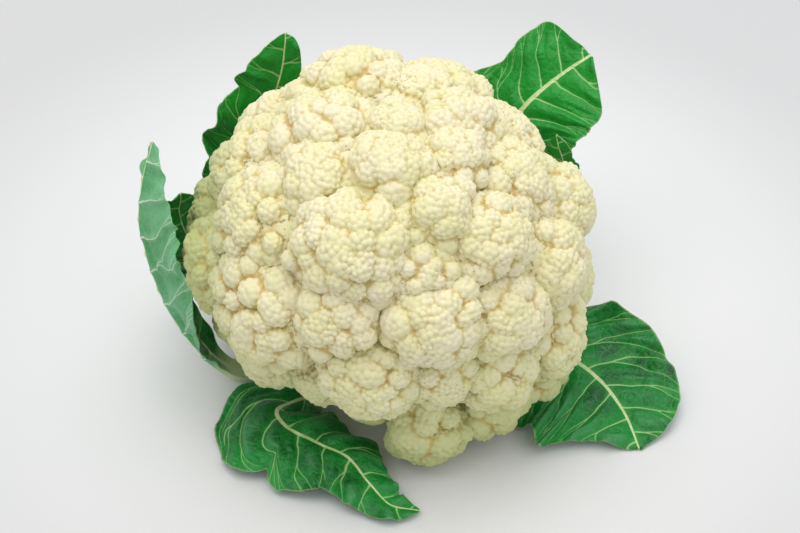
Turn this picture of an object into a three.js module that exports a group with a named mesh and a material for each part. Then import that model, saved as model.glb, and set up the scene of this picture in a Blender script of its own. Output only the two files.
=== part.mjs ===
// A head of cauliflower, cut and trimmed for sale: a short stalk with a flat cut end, the florets of
// the curd, which fan out from the top of the stalk, and the leaves left on around it.
// Millimetres, +Z up. The origin is the middle of the stalk's cut face, which the head stands on.
// The front of the head faces -Y, and turns are measured about +Z from there towards +X.
import * as THREE from 'three';

const gap = 0.3; // clear distance kept between neighbouring pieces

// The outline that the florets fill, an upright ellipsoid.
const curd = { middle: new THREE.Vector3(-2, 0, 78), radii: new THREE.Vector3(87, 86, 81) };

// The point inside the stalk's top that every floret points away from.
const branchPoint = new THREE.Vector3(0, 0, 50);

const stalk = { cutRadius: 21, widest: 23.5, crownHeight: 64, segments: 24 };

const floretShape = { around: 14, capSteps: 5, capFlatness: 0.86, overlap: 1.4, stemShare: 0.5 };

// turn and rise: the way a floret points, in degrees. spread: half of the angle that it fills.
// lift: how far it stands proud of the curd's outline, as a share of its length.
const florets = [
  // the crown
  { turn: -3, rise: 82, spread: 6, lift: -0.02 },
  { turn: 80, rise: 76, spread: 10, lift: 0 },
  { turn: 150, rise: 77, spread: 9, lift: -0.01 },
  { turn: -142, rise: 70, spread: 11, lift: 0 },
  { turn: -77, rise: 70, spread: 10, lift: 0.01 },
  { turn: -5, rise: 70, spread: 8, lift: 0.02 },
  // the upper round
  { turn: -47, rise: 62, spread: 8, lift: 0 },
  { turn: 18, rise: 58, spread: 7.5, lift: 0.02 },
  { turn: 46, rise: 70, spread: 6, lift: 0 },
  { turn: 69, rise: 56, spread: 10.5, lift: 0 },
  { turn: 112, rise: 56, spread: 11, lift: -0.02 },
  { turn: 158, rise: 56, spread: 12, lift: -0.01 },
  { turn: -160, rise: 48, spread: 11, lift: -0.02 },
  { turn: -124, rise: 45, spread: 11.5, lift: -0.02 },
  { turn: -91, rise: 48, spread: 10.5, lift: 0 },
  { turn: -60, rise: 45, spread: 11, lift: 0.02 },
  { turn: -19, rise: 50, spread: 13, lift: 0.07 },
  { turn: 9, rise: 44, spread: 6.5, lift: -0.05 },
  { turn: 38, rise: 48, spread: 9, lift: 0.02 },
  // the shoulder
  { turn: -48, rise: 24, spread: 14.5, lift: 0.03 },
  { turn: -20, rise: 30, spread: 8, lift: 0.01 },
  { turn: 12, rise: 31, spread: 11.5, lift: 0.03 },
  { turn: 36, rise: 26, spread: 12, lift: 0.02 },
  { turn: 59, rise: 32, spread: 10, lift: 0.03 },
  { turn: 84, rise: 38, spread: 11, lift: 0.03 },
  { turn: 112, rise: 29, spread: 13, lift: -0.02 },
  { turn: 143, rise: 28, spread: 14, lift: 0 },
  { turn: 175, rise: 25, spread: 14, lift: 0 },
  { turn: -155, rise: 23, spread: 13, lift: 0 },
  { turn: -128, rise: 22, spread: 13, lift: -0.01 },
  { turn: -101, rise: 18, spread: 12.5, lift: 0.06 },
  { turn: -74, rise: 22, spread: 9.5, lift: 0.02 },
  // the lower round
  { turn: -9, rise: 10, spread: 13, lift: 0.03 },
  { turn: 15, rise: 8, spread: 9, lift: -0.02 },
  { turn: 35, rise: 4, spread: 12, lift: 0.04 },
  { turn: 58, rise: 6, spread: 11, lift: 0.04 },
  { turn: 84, rise: 10, spread: 13, lift: 0.02 },
  { turn: 112, rise: 0, spread: 13, lift: -0.02 },
  { turn: 140, rise: -3, spread: 14, lift: -0.02 },
  { turn: 170, rise: -5, spread: 14, lift: -0.02 },
  { turn: -161, rise: -6, spread: 13, lift: -0.02 },
  { turn: -133, rise: -4, spread: 13, lift: -0.02 },
  { turn: -106, rise: -2, spread: 12, lift: -0.02 },
  { turn: -82, rise: -5, spread: 11, lift: 0.02 },
  { turn: -56, rise: -4, spread: 12, lift: 0.02 },
  { turn: -32, rise: -6, spread: 11, lift: 0.02 },
  // the ones that reach down to the table at the front
  { turn: -12, rise: -17, spread: 10, lift: 0.06 },
  { turn: 12, rise: -25, spread: 14, lift: 0.16 },
  { turn: 39, rise: -20, spread: 12, lift: 0.1 },
  { turn: 64, rise: -14, spread: 11, lift: 0.06 },
];

const leafShape = {
  stemRows: 5, bladeRows: 11, across: 8, half: 0.55, ribCrowd: 1.5, ribShare: 0.9, ribWidth: 0.55,
};

// path: the midrib from the stalk to the tip. stem: half the width of the bare stem, and the share of the
// length that it takes. faceRoot and faceTip: the way the leaf's inner face looks at each end. left and
// right: the blade's two halves, seen from the inner face with the tip up: the width at equal steps from
// the stem to the tip, and how far the half curls towards the inner face, in radians. ruffle: the height,
// count and start of the waves along the edge.
const leaves = [
  {
    name: 'leaf_right',
    path: [
      [24, 6, 8], [45, 11, 8], [62, 9, 9], [75, -1, 10.5], [88, -15, 10], [98, -32, 6.5], [103, -50, 3],
    ],
    stem: { half: 7.5, share: 0.26 },
    faceRoot: [0, -0.12, 1],
    faceTip: [0.1, -0.1, 1],
    left: { widths: [8, 22, 30, 33, 33, 30, 25, 15, 2], curl: 0.5 },
    right: { widths: [8, 34, 44, 44, 40, 35, 27, 15, 2], curl: -0.1 },
    ruffle: { height: 2, waves: 2.5, start: 0.1 },
  },
  {
    name: 'leaf_front_left',
    path: [
      [-20.6, -12.4, 7], [-40, -24, 8], [-55, -36, 10.5], [-50, -49, 13], [-37, -58, 13.5],
      [-23, -66, 12], [-13, -78, 8.5], [-4, -86, 5], [8, -87, 2.5],
    ],
    stem: { half: 6.5, share: 0.14 },
    faceRoot: [-0.1, 0, 1],
    faceTip: [0, -0.1, 1],
    left: { widths: [6, 16, 20, 20, 18, 17, 13, 8, 2], curl: -0.8 },
    right: { widths: [7, 20, 29, 27, 24, 19, 14, 8, 2], curl: -0.5 },
    ruffle: { height: 1.4, waves: 2.5, start: 0.3 },
  },
  {
    name: 'leaf_left',
    path: [
      [-24, 1, 8], [-50, 3, 8], [-73, -5, 11], [-89, -5, 29], [-102, -1, 53], [-109, 6, 81],
      [-108, 12, 99], [-103, 17, 116],
    ],
    stem: { half: 7, share: 0.34 },
    faceRoot: [0.1, 0, 1],
    faceTip: [0.89, 0.46, 0],
    left: { widths: [6, 10, 20, 27, 30, 29, 24, 14, 2], curl: 0.5 },
    right: { widths: [6, 8, 11, 12, 13, 12, 10, 6, 2], curl: 1.1 },
    ruffle: { height: 1.2, waves: 2.5, start: 0 },
  },
  {
    name: 'leaf_left_small',
    path: [[-21.4, 10.8, 19], [-50, 25, 19], [-82, 37, 30], [-95, 38, 48], [-98, 36, 63], [-96, 33, 76]],
    stem: { half: 5, share: 0.45 },
    faceRoot: [0.2, 0, 1],
    faceTip: [0.5, -0.85, 0.2],
    left: { widths: [5, 6, 9, 12, 14, 14, 12, 8, 2], curl: 0.3 },
    right: { widths: [5, 6, 9, 12, 14, 14, 12, 8, 2], curl: 0.3 },
    ruffle: { height: 0.8, waves: 2, start: 0.2 },
  },
  {
    name: 'leaf_back_left',
    path: [
      [-14.8, 19, 8], [-34, 44, 8], [-55, 70, 25], [-64, 79, 56], [-60, 78, 88], [-53, 79, 112],
      [-51, 80, 129],
    ],
    stem: { half: 7.5, share: 0.3 },
    faceRoot: [0.1, -0.1, 1],
    faceTip: [0.3, -0.95, 0.2],
    left: { widths: [7, 11, 18, 24, 27, 28, 20, 12, 3], curl: 0.3 },
    right: { widths: [7, 11, 16, 18, 18, 14, 9, 5, 3], curl: 0.3 },
    ruffle: { height: 2.2, waves: 3, start: 0.2 },
  },
  {
    name: 'leaf_back_right',
    path: [
      [15.4, 18.4, 8], [32, 39, 8], [48, 64, 22], [50, 79, 48], [50, 83, 72], [56, 85, 86],
      [70, 89, 99], [86, 92, 110],
    ],
    stem: { half: 7.5, share: 0.58 },
    faceRoot: [-0.1, -0.1, 1],
    faceTip: [-0.3, -0.75, 0.75],
    left: { widths: [7, 16, 26, 30, 29, 27, 23, 17, 4], curl: 0.2 },
    right: { widths: [7, 18, 29, 36, 37, 34, 29, 21, 4], curl: 0.2 },
    ruffle: { height: 1.4, waves: 3, start: 0.4 },
  },
  {
    name: 'leaf_back_right_small',
    path: [[21.4, 11, 19], [46, 25, 19], [69, 46, 31], [77, 56, 54], [74, 56, 74], [69, 54, 92]],
    stem: { half: 4.5, share: 0.5 },
    faceRoot: [-0.2, 0, 1],
    faceTip: [-0.5, -0.8, 0.1],
    left: { widths: [4, 5, 7, 9, 11, 11, 9, 6, 2], curl: 0.2 },
    right: { widths: [4, 5, 7, 9, 11, 11, 9, 6, 2], curl: 0.2 },
    ruffle: { height: 0.8, waves: 3, start: 0.1 },
  },
];

const curdColour = 0xece5c4;
const stalkColour = 0xdbe0b4;
const leafColour = 0x1f7a3a;

// The direction of a turn and rise in degrees.
function direction(turn, rise) {
  const a = THREE.MathUtils.degToRad(turn);
  const b = THREE.MathUtils.degToRad(rise);
  return new THREE.Vector3(Math.sin(a) * Math.cos(b), -Math.cos(a) * Math.cos(b), Math.sin(b));
}

// How far the curd's outline is from the branch point that way.
function reach(way) {
  const start = branchPoint.clone().sub(curd.middle).divide(curd.radii);
  const step = way.clone().divide(curd.radii);
  const a = step.dot(step);
  const b = start.dot(step);
  return (-b + Math.sqrt(b * b - a * (start.dot(start) - 1))) / a;
}

// The stalk's outline as radius and height, from the cut face to the crown inside the curd.
function stalkProfile() {
  const { cutRadius, widest, crownHeight } = stalk;
  return [
    [0, 0], [cutRadius, 0], [widest, 7], [widest, 16], [20, 34], [15, 50], [8, 60], [0, crownHeight],
  ].map(([r, z]) => new THREE.Vector2(r, z));
}

function makeStalk() {
  const geometry = new THREE.LatheGeometry(stalkProfile(), stalk.segments);
  geometry.rotateX(Math.PI / 2);
  const material = new THREE.MeshStandardMaterial({ color: stalkColour, roughness: 0.6, metalness: 0 });
  const mesh = new THREE.Mesh(geometry, material);
  mesh.name = 'stalk';
  return mesh;
}

// How far out along a way the stalk reaches, so that a floret's stem can start just beyond it.
function stalkSupport(way) {
  const flat = Math.hypot(way.x, way.y);
  return Math.max(...stalkProfile().map(p => p.x * flat + (p.y - branchPoint.z) * way.z));
}

// The plane through the branch point that parts two florets, as a unit normal pointing from a to b.
function partingPlane(a, b) {
  const across = b.way.clone().addScaledVector(a.way, -a.way.dot(b.way)).normalize();
  const angle = a.way.angleTo(b.way) * a.spread / (a.spread + b.spread);
  return across.multiplyScalar(Math.cos(angle)).addScaledVector(a.way, -Math.sin(angle));
}

// A floret's outline about its own axis: a stem that widens into a domed cap.
function floretProfile(floret) {
  const half = THREE.MathUtils.degToRad(floret.spread) * floretShape.overlap;
  const top = reach(floret.way) * (1 + floret.lift);
  const radius = top * Math.sin(half) / (1 + Math.sin(half) * floretShape.capFlatness);
  const capHeight = radius * floretShape.capFlatness;
  const start = stalkSupport(floret.way) + gap;
  const stem = start * Math.tan(half) * floretShape.stemShare;
  const points = [[0, start], [stem, start]];
  for (let i = 0; i <= floretShape.capSteps; i++) {
    const a = THREE.MathUtils.lerp(-0.2 * Math.PI, 0.5 * Math.PI, i / floretShape.capSteps);
    const r = i === floretShape.capSteps ? 0 : radius * Math.cos(a);
    points.push([r, top - capHeight + capHeight * Math.sin(a)]);
  }
  return points.map(([r, h]) => new THREE.Vector2(r, h));
}

function makeFloret(floret, index, all) {
  const geometry = new THREE.LatheGeometry(floretProfile(floret), floretShape.around);
  const turned = new THREE.Quaternion().setFromUnitVectors(new THREE.Vector3(0, 1, 0), floret.way);
  const back = turned.clone().invert();
  const planes = all
    .filter(other => other !== floret && floret.way.angleTo(other.way) < 1.2)
    .map(other => partingPlane(floret, other).applyQuaternion(back));
  // Each point moves in towards the axis until it clears the parting planes.
  const p = geometry.attributes.position;
  for (let i = 0; i < p.count; i++) {
    let share = 1;
    for (const n of planes) {
      const outward = n.x * p.getX(i) + n.z * p.getZ(i);
      const room = -gap / 2 - n.y * p.getY(i);
      if (outward > 0) share = Math.min(share, Math.max(room, 0) / outward);
    }
    p.setXYZ(i, p.getX(i) * share, p.getY(i), p.getZ(i) * share);
  }
  const material = new THREE.MeshStandardMaterial({ color: curdColour, roughness: 0.75, metalness: 0 });
  const mesh = new THREE.Mesh(geometry, material);
  mesh.quaternion.copy(turned);
  mesh.position.copy(branchPoint);
  mesh.name = 'floret_' + String(index + 1).padStart(2, '0');
  return mesh;
}

// The width of one half of a leaf at a share s of its length, smooth between the widths that it lists.
function halfWidth(leaf, half, s) {
  const last = half.widths.length - 1;
  const at = (i) => half.widths[THREE.MathUtils.clamp(i, 0, last)];
  if (s < leaf.stem.share) return THREE.MathUtils.lerp(leaf.stem.half, at(0), s / leaf.stem.share);
  const place = last * (s - leaf.stem.share) / (1 - leaf.stem.share);
  const i = Math.min(Math.floor(place), last - 1);
  const q = place - i;
  const bend = (at(i + 1) - at(i - 1)) / 2;
  const nextBend = (at(i + 2) - at(i)) / 2;
  const rise = at(i + 1) - at(i);
  return at(i) + bend * q + (3 * rise - 2 * bend - nextBend) * q * q + (bend + nextBend - 2 * rise) * q ** 3;
}

// A point of the leaf's middle surface: s from the stalk to the tip, t from the left edge to the right.
function leafPoint(leaf, spine, s, t) {
  const at = spine.getPointAt(s);
  const along = spine.getTangentAt(s);
  const face = new THREE.Vector3(...leaf.faceRoot).lerp(new THREE.Vector3(...leaf.faceTip), s);
  face.addScaledVector(along, -face.dot(along)).normalize();
  const side = along.clone().cross(face);
  const half = t < 0 ? leaf.left : leaf.right;
  const width = halfWidth(leaf, half, s);
  const spread = width / Math.max(...half.widths);
  const curl = half.curl * spread + 1e-3;
  const out = Math.sin(curl * Math.abs(t)) / curl;
  const up = (1 - Math.cos(curl * Math.abs(t))) / curl;
  const { height, waves, start } = leaf.ruffle;
  const wave = height * spread * t * t * Math.sin(2 * Math.PI * (waves * s + start) + t);
  return at.addScaledVector(side, Math.sign(t) * width * out).addScaledVector(face, width * up + wave);
}

// The share of the length at a row of the leaf's mesh, where the blade has more rows than the stem.
function shareAtRow(leaf, row) {
  const { stemRows, bladeRows } = leafShape;
  if (row < stemRows) return leaf.stem.share * row / stemRows;
  return leaf.stem.share + (1 - leaf.stem.share) * (row - stemRows) / bladeRows;
}

// A thin blade on a thick stem and midrib, which stand out on the back, the outer face.
function makeLeaf(leaf) {
  const { stemRows, bladeRows, across, half, ribCrowd, ribShare, ribWidth } = leafShape;
  const rows = stemRows + bladeRows;
  const spine = new THREE.CatmullRomCurve3(leaf.path.map((p) => new THREE.Vector3(...p)));
  const geometry = new THREE.BoxGeometry(2, 1, 1, across, rows, 1);
  const p = geometry.attributes.position;
  const step = 1e-3;
  for (let i = 0; i < p.count; i++) {
    const s = shareAtRow(leaf, Math.round((p.getY(i) + 0.5) * rows));
    const t = Math.sign(p.getX(i)) * Math.pow(Math.abs(p.getX(i)), ribCrowd);
    const near = THREE.MathUtils.clamp(s, step, 1 - step);
    const inside = THREE.MathUtils.clamp(t, -1 + step, 1 - step);
    const around = (ds, dt) => leafPoint(leaf, spine, near + ds, inside + dt);
    const alongWay = around(step, 0).sub(around(-step, 0));
    const acrossWay = around(0, step).sub(around(0, -step));
    const normal = acrossWay.cross(alongWay).normalize();
    const width = halfWidth(leaf, t < 0 ? leaf.left : leaf.right, s);
    const fromRib = Math.abs(t) * width / (leaf.stem.half * (1 - s) + 1);
    const rib = leaf.stem.half * ribShare * Math.pow(1 - s, 1.3) * Math.max(0, 1 - (fromRib * ribWidth) ** 2);
    const at = leafPoint(leaf, spine, s, t);
    at.addScaledVector(normal, p.getZ(i) > 0 ? half : -half - rib);
    p.setXYZ(i, at.x, at.y, at.z);
  }
  const material = new THREE.MeshStandardMaterial({ color: leafColour, roughness: 0.5, metalness: 0 });
  const mesh = new THREE.Mesh(geometry, material);
  mesh.name = leaf.name;
  return mesh;
}

const head = new THREE.Group();
const aimed = florets.map(f => ({ ...f, way: direction(f.turn, f.rise) }));
head.add(makeStalk());
aimed.forEach((floret, i) => head.add(makeFloret(floret, i, aimed)));
leaves.forEach(leaf => head.add(makeLeaf(leaf)));

export default head;
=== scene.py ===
import math
import random

import bpy
import numpy as np
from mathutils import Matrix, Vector
from mathutils.bvhtree import BVHTree


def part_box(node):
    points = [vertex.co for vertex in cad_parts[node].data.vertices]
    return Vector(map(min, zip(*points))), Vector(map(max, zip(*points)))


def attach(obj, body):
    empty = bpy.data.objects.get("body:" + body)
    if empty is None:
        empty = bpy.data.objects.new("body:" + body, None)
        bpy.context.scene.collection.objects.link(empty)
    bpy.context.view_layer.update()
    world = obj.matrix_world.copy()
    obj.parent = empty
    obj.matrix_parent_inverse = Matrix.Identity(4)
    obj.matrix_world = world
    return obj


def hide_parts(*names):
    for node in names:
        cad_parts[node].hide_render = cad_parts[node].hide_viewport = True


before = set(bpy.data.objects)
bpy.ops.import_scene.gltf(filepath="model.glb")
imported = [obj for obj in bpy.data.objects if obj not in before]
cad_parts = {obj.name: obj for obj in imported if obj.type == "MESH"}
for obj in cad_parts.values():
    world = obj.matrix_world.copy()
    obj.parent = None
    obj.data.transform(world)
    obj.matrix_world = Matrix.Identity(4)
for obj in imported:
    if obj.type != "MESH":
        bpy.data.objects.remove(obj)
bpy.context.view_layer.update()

mm = 0.001
golden = math.pi * (3 - math.sqrt(5))  # the turn from one part to the next on a flower head


# a socket that can be used in sums
class Wire:
    def __init__(self, paint, socket):
        self.paint = paint
        self.socket = socket

    def join(self, operation, a, b):
        return self.paint.node("ShaderNodeMath", {"operation": operation}, {0: a, 1: b})

    def __add__(self, other):
        return self.join("ADD", self, other)

    def __sub__(self, other):
        return self.join("SUBTRACT", self, other)

    def __rsub__(self, other):
        return self.join("SUBTRACT", other, self)

    def __mul__(self, other):
        return self.join("MULTIPLY", self, other)

    def __truediv__(self, other):
        return self.join("DIVIDE", self, other)

    __radd__ = __add__
    __rmul__ = __mul__


class Paint:
    def __init__(self, name):
        self.material = bpy.data.materials.new(name)
        self.material.use_nodes = True
        self.tree = self.material.node_tree
        self.tree.nodes.clear()

    # settings go on first, then values or wires go to the sockets
    def node(self, kind, settings=None, inputs=None, output=0):
        made = self.tree.nodes.new(kind)
        for key, value in (settings or {}).items():
            setattr(made, key, value)
        for key, value in (inputs or {}).items():
            socket = made.inputs[key]
            if isinstance(value, Wire):
                self.tree.links.new(value.socket, socket)
            elif isinstance(value, tuple) and len(value) == 3 and socket.type == "RGBA":
                socket.default_value = (*value, 1)
            else:
                socket.default_value = value
        return Wire(self, made.outputs[output]) if made.outputs else None

    def attribute(self, name):
        return self.node("ShaderNodeAttribute", {"attribute_name": name}, output="Fac")

    def place(self):
        return self.node("ShaderNodeTexCoord", output="Object")

    def placeAlong(self, axis):
        return self.node("ShaderNodeSeparateXYZ", {}, {0: self.place()}, axis)

    def noise(self, size, detail=2):
        inputs = {"Vector": self.place(), "Scale": 1 / size, "Detail": detail}
        return self.node("ShaderNodeTexNoise", {}, inputs)

    def cells(self, size, feature="F1", spread=1):
        inputs = {"Vector": self.place(), "Scale": 1 / size, "Randomness": spread}
        return self.node("ShaderNodeTexVoronoi", {"feature": feature}, inputs, "Distance")

    # an easy change from bottom to top while the value goes from low to high
    def rise(self, value, low, high, bottom=0, top=1):
        inputs = {"Value": value, "From Min": low, "From Max": high, "To Min": bottom, "To Max": top}
        return self.node("ShaderNodeMapRange", {"interpolation_type": "SMOOTHSTEP"}, inputs)

    # for colours, the Mix node's share is socket 0, its inputs are 6 and 7, and its output is 2
    def mix(self, first, second, share):
        return self.node("ShaderNodeMix", {"data_type": "RGBA"}, {0: share, 6: first, 7: second}, 2)

    def bump(self, height, strength, distance):
        inputs = {"Height": height, "Strength": strength, "Distance": distance}
        return self.node("ShaderNodeBump", {}, inputs)

    def finish(self, **sockets):
        inputs = {key.replace("_", " "): value for key, value in sockets.items()}
        shader = self.node("ShaderNodeBsdfPrincipled", {}, inputs)
        self.node("ShaderNodeOutputMaterial", {}, {"Surface": shader})
        return self.material


# evens out values over the faces' corners, so many rounds
def smoothOver(values, faces, rounds):
    count = np.bincount(faces.ravel(), minlength=len(values))
    for _ in range(rounds):
        mean = values[faces].mean(axis=1)
        values = np.bincount(faces.ravel(), np.repeat(mean, faces.shape[1]), len(values)) / count
    return values


# uv holds a place for each corner of each face, and values are painted on the points
def makeMesh(name, points, faces, uv, values, material):
    mesh = bpy.data.meshes.new(name)
    mesh.from_pydata(points.tolist(), [], faces)
    mesh.uv_layers.new(name="OFBake").data.foreach_set("uv", uv.astype(np.float32).ravel())
    for key, value in values.items():
        mesh.attributes.new(key, "FLOAT", "POINT").data.foreach_set("value", value.astype(np.float32))
    mesh.polygons.foreach_set("use_smooth", [True] * len(mesh.polygons))
    mesh.materials.append(material)
    mesh.update()
    piece = bpy.data.objects.new(name, mesh)
    bpy.context.scene.collection.objects.link(piece)
    return piece


def handIn(piece, node):
    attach(piece, "root")
    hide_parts(node)


# a ball of even quads: the way to each point, and each face's corners
def quadBall(divisions):
    line = np.tan(np.linspace(-1, 1, divisions + 1) * math.pi / 4)
    a, b = np.meshgrid(line, line, indexing="ij")
    one = np.ones_like(a)
    sides = [(a, b, one), (b, a, -one), (one, a, b), (-one, b, a), (b, one, a), (a, -one, b)]
    points = np.concatenate([np.stack(side, axis=-1).reshape(-1, 3) for side in sides])
    points /= np.linalg.norm(points, axis=1, keepdims=True)
    i, j = np.meshgrid(np.arange(divisions), np.arange(divisions), indexing="ij")
    corner = (i * (divisions + 1) + j).ravel()
    square = np.stack([corner, corner + divisions + 1, corner + divisions + 2, corner + 1], axis=1)
    faces = np.concatenate([square + k * (divisions + 1) ** 2 for k in range(6)])
    _, first, same = np.unique(points.round(6), axis=0, return_index=True, return_inverse=True)
    return points[first], same.ravel()[faces]


latticeSize = 24
lattice = np.random.RandomState(71).uniform(-1, 1, (latticeSize,) * 3)


# smooth random heights from -1 to 1, with bumps about as wide as size
def softNoise(points, size):
    places = points / size
    base = np.floor(places).astype(int)
    part = places - base
    part = part * part * (3 - 2 * part)
    total = np.zeros(len(points))
    for corner in range(8):
        step = np.array([corner & 1, corner >> 1 & 1, corner >> 2 & 1])
        share = np.prod(np.where(step, part, 1 - part), axis=1)
        i, j, k = ((base + step) % latticeSize).T
        total += share * lattice[i, j, k]
    return total


balls = {}


def ballOf(divisions):
    if divisions not in balls:
        balls[divisions] = quadBall(divisions)
    return balls[divisions]


# rows that turn +Z to the axis
def turnTo(axis):
    helper = Vector((1, 0, 0)) if abs(axis[0]) < 0.7 else Vector((0, 1, 0))
    u = Vector(axis).cross(helper).normalized()
    v = Vector(axis).cross(u)
    return np.array([u, v, axis])


# ways spread evenly over a cap round +Z, as on a flower head
def spiralCap(count, reach, start):
    k = np.arange(count) + 0.5
    height = 1 - (1 - math.cos(reach)) * k / count
    flat = np.sqrt(1 - height ** 2)
    turn = start + k * golden
    return np.stack([flat * np.cos(turn), flat * np.sin(turn), height], axis=1)


curd = {
    "domeDepth": 0.95,            # from the top of the solid to the middle of the dome, in floret radii
    "lobeRadius": 6.3 * mm,       # the knobs that a floret is made of
    "lobeLargest": 0.42,          # in floret radii
    "lobeVariety": 0.30,
    "lobePitch": 1.60,            # from knob to knob, in knob radii
    "lobeStray": 0.11,
    "lobeSet": (0.92, 1.06),      # how deep a knob's middle lies under the skin, in knob radii
    "lobeCore": 0.865,            # the body under a knob's buds
    "capReach": math.radians(118),
    "budsPerLobe": 46,
    "budReach": math.radians(132),
    "budLean": 0.35,              # buds gather on the side that faces up the floret
    "budRadius": (0.22, 0.34),    # at a knob's crown and at its foot, in knob radii
    "budVariety": 0.16,
    "budRise": 0.12,              # how far a bud stands out of its knob, in bud radii
    "relief": (-1.5 * mm, 1.0 * mm),  # the deepest crease and the highest bud
    "calmPatch": 9 * mm,          # buds are weaker on some patches of this size
    "calm": (0.87, 0.30, 0.35, 1.1),  # the usual share, its change, the least and the most
    "fill": 0.60,                 # share of a groove between florets that the knobs fill
    "fillStart": 2 * mm,
    "fillDeepest": 7.5 * mm,
    "fillFade": (18 * mm, 10 * mm),   # gaps deeper than this stay open
    "fillHeight": (14 * mm, 14 * mm),  # nothing is filled near the table
    "least": (0.80, 0.18, 6 * mm, 9 * mm),  # share of the skin that is always filled, more of it deep down
    "slack": 1.4 * mm,
    "inset": 1.3 * mm,            # leaves room for the buds under the solid's skin
    "swell": {                    # florets that stand out further or less than the rest, in mm
        "floret_03": -3.5, "floret_04": 4.0, "floret_05": 1.5, "floret_10": -3.0, "floret_11": -7.0,
        "floret_12": -1.5, "floret_13": 6.0, "floret_20": 1.5, "floret_24": 0.5, "floret_25": -1.5,
        "floret_26": -8.0, "floret_27": -4.0, "floret_30": -2.5, "floret_32": 2.5, "floret_35": 2.5,
        "floret_36": 5.0, "floret_37": -0.5, "floret_44": 2.0, "floret_45": -1.0, "floret_46": -8.5,
        "floret_47": -11.0, "floret_48": 4.5, "floret_49": 6.0, "floret_50": 9.0,
    },
    "grain": 0.46 * mm,           # distance between mesh points on the dome
    "grainQuick": 0.8 * mm,
    "divisions": (16, 64),
}


# 0 before the start and 1 a length further on
def ramp(value, start, length):
    return np.clip((value - start) / length, 0, 1)


def nodeMesh(name):
    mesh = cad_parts[name].data
    mesh.calc_loop_triangles()
    points = np.array([v.co for v in mesh.vertices])
    faces = np.array([t.vertices for t in mesh.loop_triangles])
    return points, faces


floretNames = sorted(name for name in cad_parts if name.startswith("floret"))
floretBoxes = np.array([[list(corner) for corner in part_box(name)] for name in floretNames])
headLow, headHigh = floretBoxes[:, 0].min(axis=0), floretBoxes[:, 1].max(axis=0)
headMiddle, headRadii = (headLow + headHigh) / 2, (headHigh - headLow) / 2
stalkLow, stalkHigh = (np.array(corner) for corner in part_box("stalk"))
heart = np.array([0, 0, stalkHigh[2] * 0.78])  # the florets fan out from inside the stalk's crown


# how far places lie under the head's round outline: 0 on it and 1 at the middle
def sunkBelow(places):
    return 1 - np.sqrt((((places - headMiddle) / headRadii) ** 2).sum(axis=1))


# how far out the farthest of many balls reaches along each way from the middle
def farthest(ways, many):
    many = many.astype(np.float32)
    reach = np.zeros(len(ways))
    offset = (many[:, :3] ** 2).sum(axis=1)
    atOnce = 4000
    for begin in range(0, len(ways), atOnce):
        near = ways[begin:begin + atOnce].astype(np.float32) @ many[:, :3].T
        inside = many[:, 3] ** 2 - offset + near ** 2
        out = np.where(inside > 0, near + np.sqrt(np.maximum(inside, 0)), 0)
        reach[begin:begin + atOnce] = out.max(axis=1)
    return reach


# the way a floret grows, its radius and the middle of its dome
def measureFloret(points, faces):
    corners = points[faces]
    areas = np.linalg.norm(np.cross(corners[:, 1] - corners[:, 0], corners[:, 2] - corners[:, 0]), axis=1)
    middle = (corners.mean(axis=1) * areas[:, None]).sum(axis=0) / areas.sum()
    axis = (middle - heart) / np.linalg.norm(middle - heart)
    along = (points - heart) @ axis
    aside = np.linalg.norm(points - heart - along[:, None] * axis, axis=1)
    wide = np.percentile(aside, 80)
    return axis, wide, heart + axis * (along.max() - curd["domeDepth"] * wide)


# a ball whose points are crowded on the dome and sparse on the hidden stem
def domeBall(wide, turn):
    grain = curd["grain"]
    domeArea = 2 * math.pi * wide ** 2 * 1.7
    divisions = int(np.clip(math.sqrt(domeArea / grain ** 2 / 6), *curd["divisions"]))
    ball, faces = ballOf(divisions)
    share = (1 - ball[:, 2]) / 2
    share = share * (0.88 + 0.12 * share ** 10)
    height = 1 - 2 * share
    flat = np.sqrt(np.clip(1 - height ** 2, 0, 1)) / np.maximum(np.hypot(ball[:, 0], ball[:, 1]), 1e-9)
    ways = np.stack([ball[:, 0] * flat, ball[:, 1] * flat, height], axis=1) @ turn
    return ball, faces, ways


# knobs set just under the skin, and the buds on them, as middles and radii
def growKnobs(ways, skin, axis, wide, turn, dice):
    lobeRadius = min(curd["lobeRadius"], wide * curd["lobeLargest"])
    spacing = curd["lobePitch"] * lobeRadius
    hexagon = 0.87  # a knob's own area, in squares of the spacing
    cap = 2 * math.pi * wide ** 2 * (1 - math.cos(curd["capReach"]))
    lobeWays = spiralCap(int(cap / spacing ** 2 / hexagon), curd["capReach"], dice.uniform(0, 7)) @ turn
    lobes, buds = [], []
    for way in lobeWays:
        way = way + np.array([dice.gauss(0, curd["lobeStray"]) for _ in range(3)])
        way /= np.linalg.norm(way)
        radius = lobeRadius * (1 + dice.uniform(-1, 1) * curd["lobeVariety"])
        nearest = int((ways @ way).argmax())
        lobe = way * (skin[nearest] - radius * dice.uniform(*curd["lobeSet"]))
        pole = way + curd["budLean"] * axis
        pole /= np.linalg.norm(pole)
        amount = int(curd["budsPerLobe"] * (radius / lobeRadius) ** 1.5)
        budWays = spiralCap(amount, curd["budReach"], dice.uniform(0, 7)) @ turnTo(Vector(pole))
        low, high = curd["budRadius"]
        size = radius * (low + (high - low) * np.sqrt(np.arange(amount) / amount))
        size *= np.exp([dice.gauss(0, curd["budVariety"]) for _ in range(amount)])
        middles = lobe + budWays * (radius - size * (1 - curd["budRise"]))[:, None]
        buds.append(np.column_stack([middles, size]))
        lobes.append([*lobe, radius])
    return np.array(lobes), np.concatenate(buds)


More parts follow.
